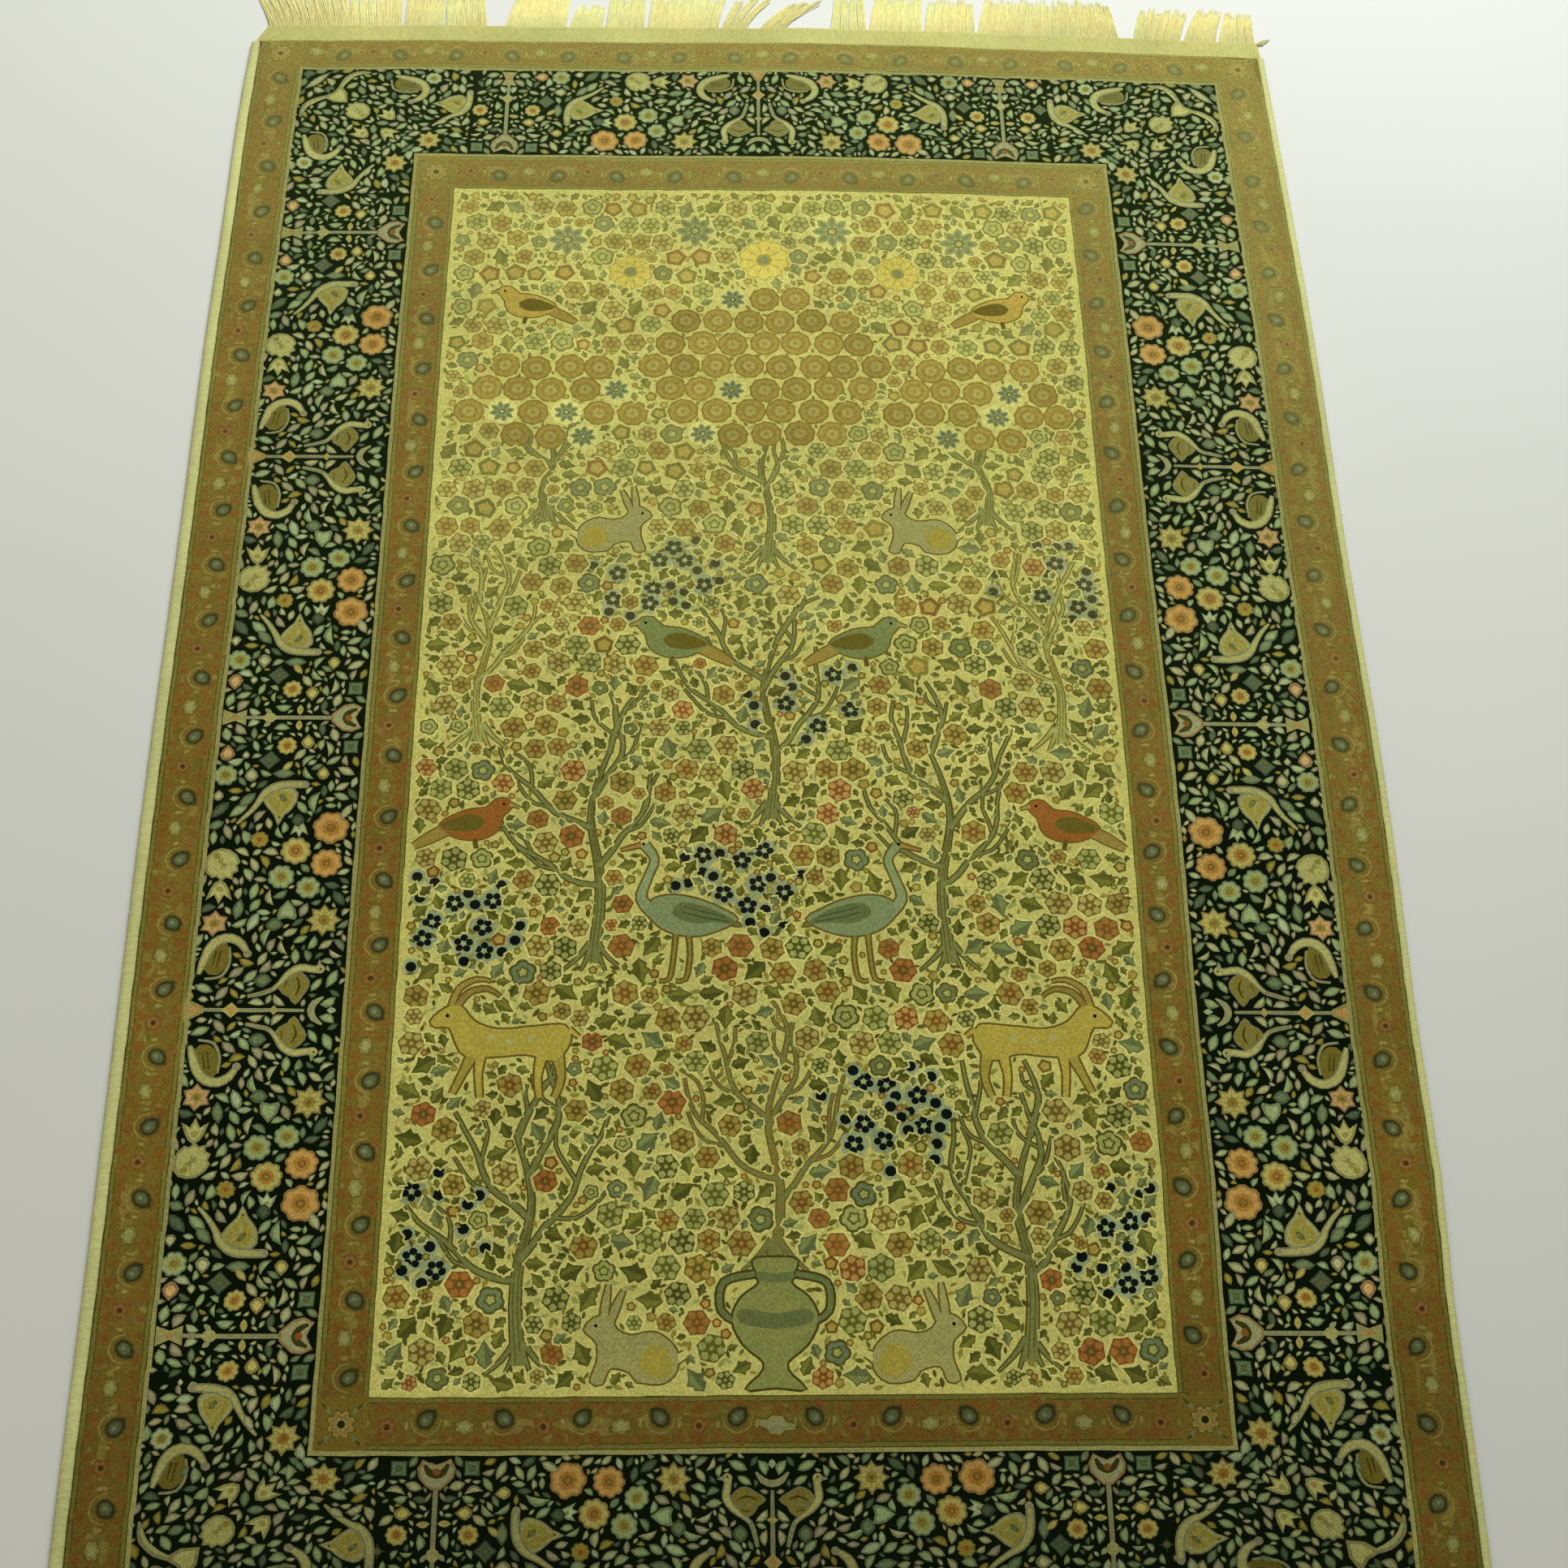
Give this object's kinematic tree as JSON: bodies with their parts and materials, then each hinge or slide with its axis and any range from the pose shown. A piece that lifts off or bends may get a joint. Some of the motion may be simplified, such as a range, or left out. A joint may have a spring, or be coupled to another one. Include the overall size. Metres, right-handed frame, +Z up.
{
  "type": "turkish rug",
  "caption": "Flat pile rug with a garden field, leafy dark border, narrow guard bands, overcast sides and combed end fringes.",
  "frame": {"origin": "middle of the rug's bounding box at floor level, on its underside", "axes": "+Y along the rug's length towards its far fringe, +X across its width to the right, +Z up out of the pile"},
  "size_m": [1.2388, 2.022, 0.007],
  "materials": {
    "wool_pile": "clipped pile in many dyed colours",
    "side_cord": "wrapped cream yarn",
    "end_cotton": "flat weave and combed cotton fringe"
  },
  "bodies": {
    "root": {"pile": "wool_pile", "selvedge_left": "side_cord", "selvedge_right": "side_cord", "end_far": "end_cotton", "end_near": "end_cotton"}
  },
  "joints": []
}
